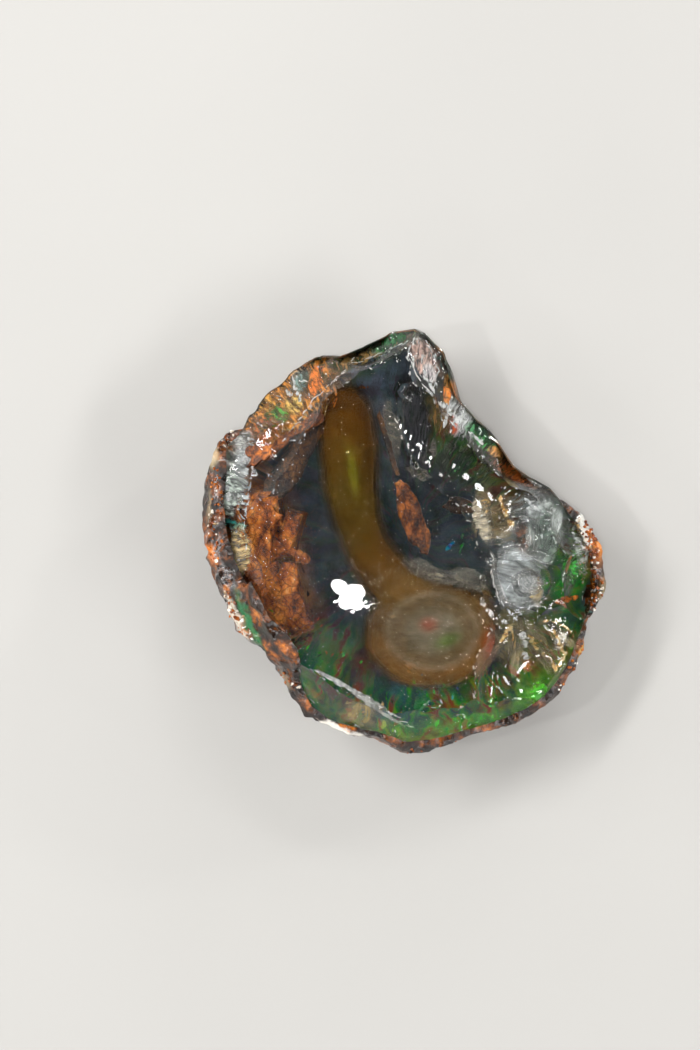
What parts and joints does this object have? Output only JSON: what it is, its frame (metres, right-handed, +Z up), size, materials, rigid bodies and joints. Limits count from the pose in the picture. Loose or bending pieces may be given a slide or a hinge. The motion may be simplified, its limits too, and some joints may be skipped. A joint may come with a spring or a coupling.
{
  "type": "rough opal",
  "caption": "Palm-sized piece of rough crystal opal: a clear dark stone broken in shell-shaped scars, with a brown cloud inside, in its skin of brown ironstone.",
  "frame": {"origin": "middle of the footprint, on the resting face", "axes": "+Z up, out of the clear window; +Y along the window towards the pointed end; +X across the window"},
  "size_m": [0.0496, 0.0518, 0.0166],
  "materials": {
    "opal": "clear smoky blue-grey opal with a glassy broken surface and flashes of green and gold inside",
    "cloud": "milky brown opal with soft edges, sealed in the clear opal",
    "rind": "rough weathered brown ironstone with rust and dark ledges"
  },
  "bodies": {
    "root": {"opal": "opal", "brown_cloud": "cloud", "rind": "rind"}
  },
  "joints": []
}
